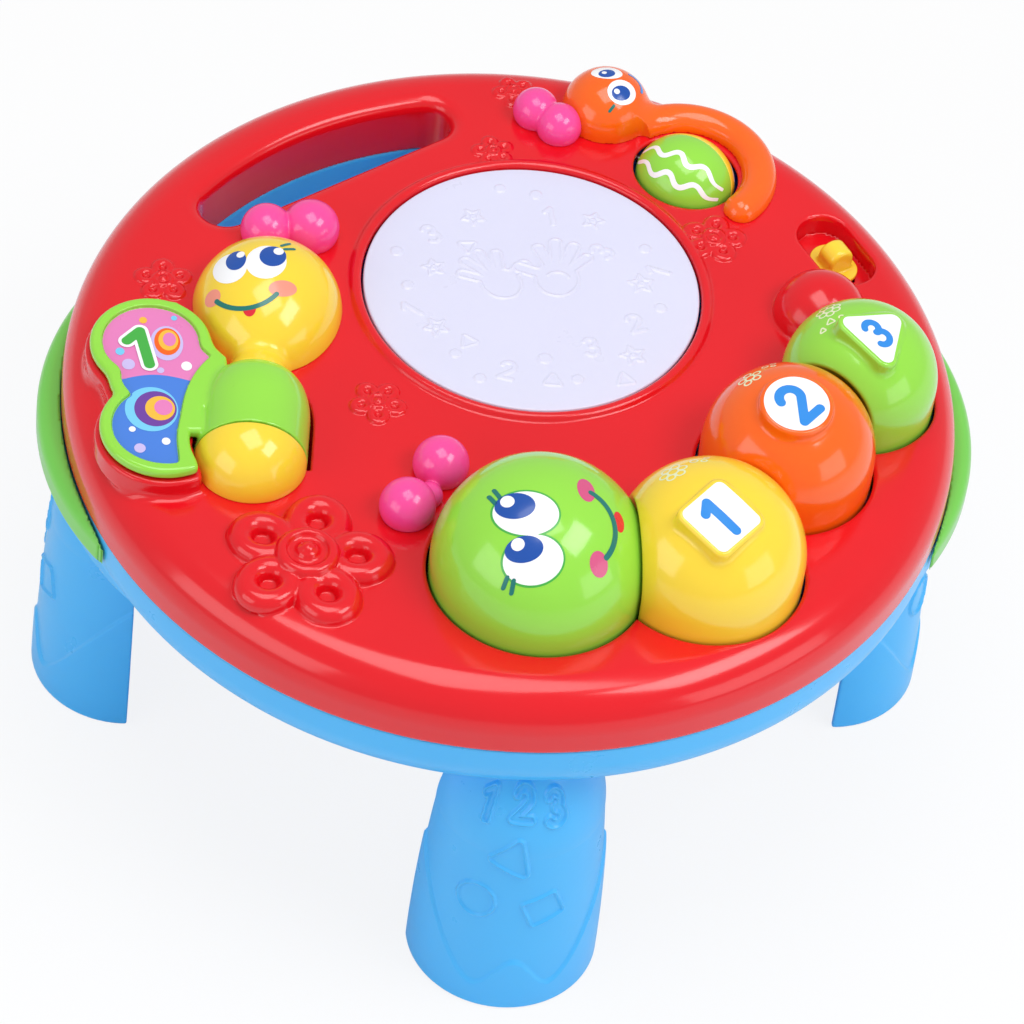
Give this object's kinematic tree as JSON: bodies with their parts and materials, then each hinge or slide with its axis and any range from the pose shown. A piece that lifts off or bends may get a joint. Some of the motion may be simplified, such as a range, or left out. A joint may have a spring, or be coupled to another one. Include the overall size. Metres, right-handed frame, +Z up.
{
  "type": "musical activity table",
  "caption": "Low round toy table on four half-pipe legs with a drum pad, push keys, a page-turning wing, a roller and a mode switch.",
  "frame": {"origin": "on the floor at the centre of the table", "axes": "+Z up, -Y towards the front leg, +X towards the right leg"},
  "size_m": [0.338, 0.333, 0.201],
  "materials": {
    "red_shell": "high gloss",
    "blue_shell": "gloss",
    "blue_leg": "satin gloss",
    "green_gloss": "high gloss",
    "yellow_gloss": "high gloss",
    "orange_gloss": "high gloss",
    "pink_gloss": "high gloss",
    "pearl_pad": "fine satin, translucent",
    "card": "satin print",
    "rubber": "matte",
    "steel": "satin",
    "board": "satin",
    "lamp": "clear",
    "chip": "satin",
    "cell": "gloss"
  },
  "bodies": {
    "table": {"top_shell": "red_shell", "bottom_shell": "blue_shell", "side_lobe_left": "green_gloss", "side_lobe_right": "green_gloss", "leg_front": "blue_leg", "leg_right": "blue_leg", "leg_back": "blue_leg", "leg_left": "blue_leg", "drum_contacts": "rubber", "head_contact": "rubber", "key_one_contact": "rubber", "key_two_contact": "rubber", "key_three_contact": "rubber", "worm_feelers": "pink_gloss", "butterfly_feelers": "pink_gloss", "snail_feelers": "pink_gloss", "butterfly_head": "yellow_gloss", "butterfly_tail": "yellow_gloss", "wing_axle": "steel", "snail_body": "orange_gloss", "roller_pin": "steel", "slide_switch": "steel", "main_board": "board", "lamps": "lamp", "sound_chip": "chip", "key_board": "board", "board_screws": "steel", "shell_screws": "steel", "loudspeaker": "chip", "battery_cover": "blue_shell", "cover_screw": "steel", "cells": "cell", "cell_contacts": "steel"},
    "drum": {"drum_pad": "pearl_pad"},
    "worm_head": {"worm_head": "green_gloss"},
    "key_one": {"key_one": "yellow_gloss"},
    "key_two": {"key_two": "orange_gloss"},
    "key_three": {"key_three": "green_gloss"},
    "wing": {"wing_page": "green_gloss", "wing_picture": "card"},
    "roller": {"roller_green_half": "green_gloss", "roller_yellow_half": "yellow_gloss"},
    "knob": {"switch_knob": "yellow_gloss"}
  },
  "joints": [
    {"name": "pad_press", "type": "slide", "parent": "table", "child": "drum", "axis": [0, 0, -1], "range_m": [0, 0.0015], "stiffness_N_per_m": 1200, "springref_m": -0.0015, "deforming": ["drum_contacts"]},
    {"name": "head_press", "type": "slide", "parent": "table", "child": "worm_head", "axis": [0, 0, -1], "range_m": [0, 0.003], "stiffness_N_per_m": 800, "springref_m": -0.0015, "deforming": ["head_contact"]},
    {"name": "key_one_press", "type": "slide", "parent": "table", "child": "key_one", "axis": [0, 0, -1], "range_m": [0, 0.003], "stiffness_N_per_m": 800, "springref_m": -0.0015, "deforming": ["key_one_contact"]},
    {"name": "key_two_press", "type": "slide", "parent": "table", "child": "key_two", "axis": [0, 0, -1], "range_m": [0, 0.003], "stiffness_N_per_m": 800, "springref_m": -0.0015, "deforming": ["key_two_contact"]},
    {"name": "key_three_press", "type": "slide", "parent": "table", "child": "key_three", "axis": [0, 0, -1], "range_m": [0, 0.003], "stiffness_N_per_m": 800, "springref_m": -0.0015, "deforming": ["key_three_contact"]},
    {"name": "wing_turn", "type": "hinge", "parent": "table", "child": "wing", "pos_m": [-0.0965, -0.048, 0.159], "axis": [0.1045, 0.9945, 0], "range_deg": [0, 150]},
    {"name": "roller_spin", "type": "hinge", "parent": "table", "child": "roller", "pos_m": [0.071, 0.1, 0.1534], "axis": [0.8192, -0.5736, 0], "continuous": true},
    {"name": "mode_slide", "type": "slide", "parent": "table", "child": "knob", "axis": [0.4384, -0.8988, 0], "range_m": [-0.006, 0.006]}
  ]
}
